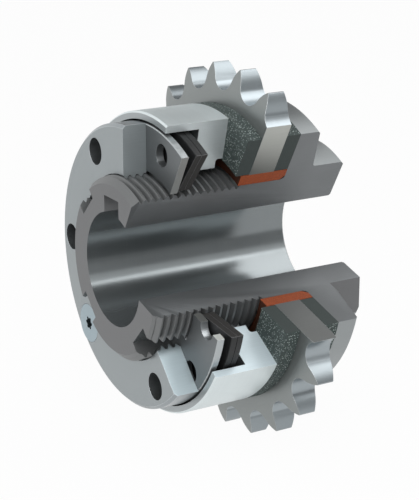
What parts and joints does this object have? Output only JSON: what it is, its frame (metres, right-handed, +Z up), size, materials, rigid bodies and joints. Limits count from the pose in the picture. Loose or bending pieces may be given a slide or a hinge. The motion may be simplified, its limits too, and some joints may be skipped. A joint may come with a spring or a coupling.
{
  "type": "torque limiter",
  "caption": "Sectioned friction torque limiter: sprocket clamped between linings on a threaded hub by disc springs and an adjusting nut.",
  "frame": {"origin": "on the shaft axis, at the front face of the hub, where the adjusting nut is", "axes": "+Y along the shaft bore from the nut end to the flange end, +Z up through the keyway, +X out of the section window"},
  "size_m": [0.1415, 0.0928, 0.1493],
  "materials": {
    "turned_steel": "fine turned, sawn and ground on the cut faces",
    "plated_steel": "satin, light blue-grey",
    "sprocket_steel": "ground plate with milled teeth",
    "screw_steel": "zinc plated, pale blue",
    "spring_steel": "phosphated, near black",
    "friction_lining": "matt, dark grey-green with light specks",
    "bearing_bronze": "orange copper-coloured, machined"
  },
  "bodies": {
    "hub_group": {"hub": "turned_steel", "adjusting_nut": "plated_steel", "lock_screw": "screw_steel", "lock_washer": "plated_steel", "disc_spring_1": "spring_steel", "disc_spring_2": "spring_steel", "pressure_ring": "plated_steel", "front_lining": "friction_lining", "rear_lining": "friction_lining"},
    "sprocket_group": {"sprocket": "sprocket_steel", "bushing": "bearing_bronze"}
  },
  "joints": [
    {"name": "sprocket_slip", "type": "hinge", "parent": "hub_group", "child": "sprocket_group", "pos_m": [0, 0.05425, 0], "axis": [0, 1, 0], "continuous": true}
  ]
}
